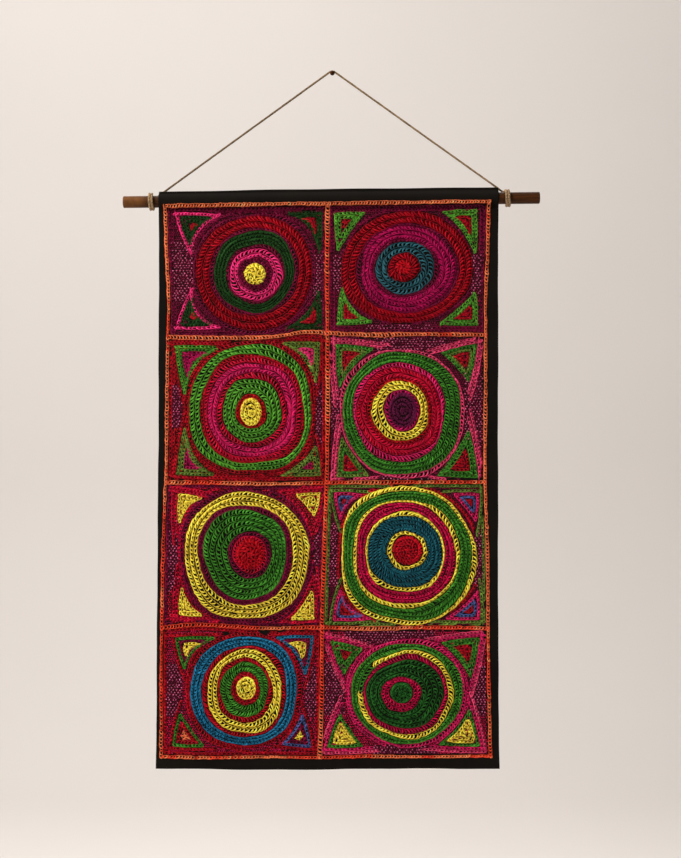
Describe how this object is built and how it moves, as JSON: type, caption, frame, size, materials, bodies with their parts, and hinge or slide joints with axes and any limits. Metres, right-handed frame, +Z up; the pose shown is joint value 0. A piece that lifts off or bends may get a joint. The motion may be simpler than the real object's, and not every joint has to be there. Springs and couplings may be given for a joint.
{
  "type": "embroidered wall hanging on a wooden rod",
  "caption": "Black cotton hanging covered with chain-stitched rings in squares, on a wooden rod with a cord over a wall nail.",
  "frame": {"origin": "the middle of the nail where it meets the wall, in the wall's plane", "axes": "+X to the viewer's right, +Y into the wall, +Z up; the embroidered face looks along -Y"},
  "size_m": [0.6662, 0.0294, 1.1188],
  "materials": {
    "embroidered_cotton": "black plain-weave cotton almost covered with coloured chain stitch, matt",
    "dark_wood": "dark stained hardwood dowel, waxed",
    "jute_twine": "twisted natural jute",
    "nail_steel": "browned steel"
  },
  "bodies": {
    "root": {"embroidered_cloth": "embroidered_cotton", "wooden_rod": "dark_wood", "lashing_left": "jute_twine", "lashing_right": "jute_twine", "hanging_cord": "jute_twine", "wall_nail": "nail_steel"}
  },
  "joints": []
}
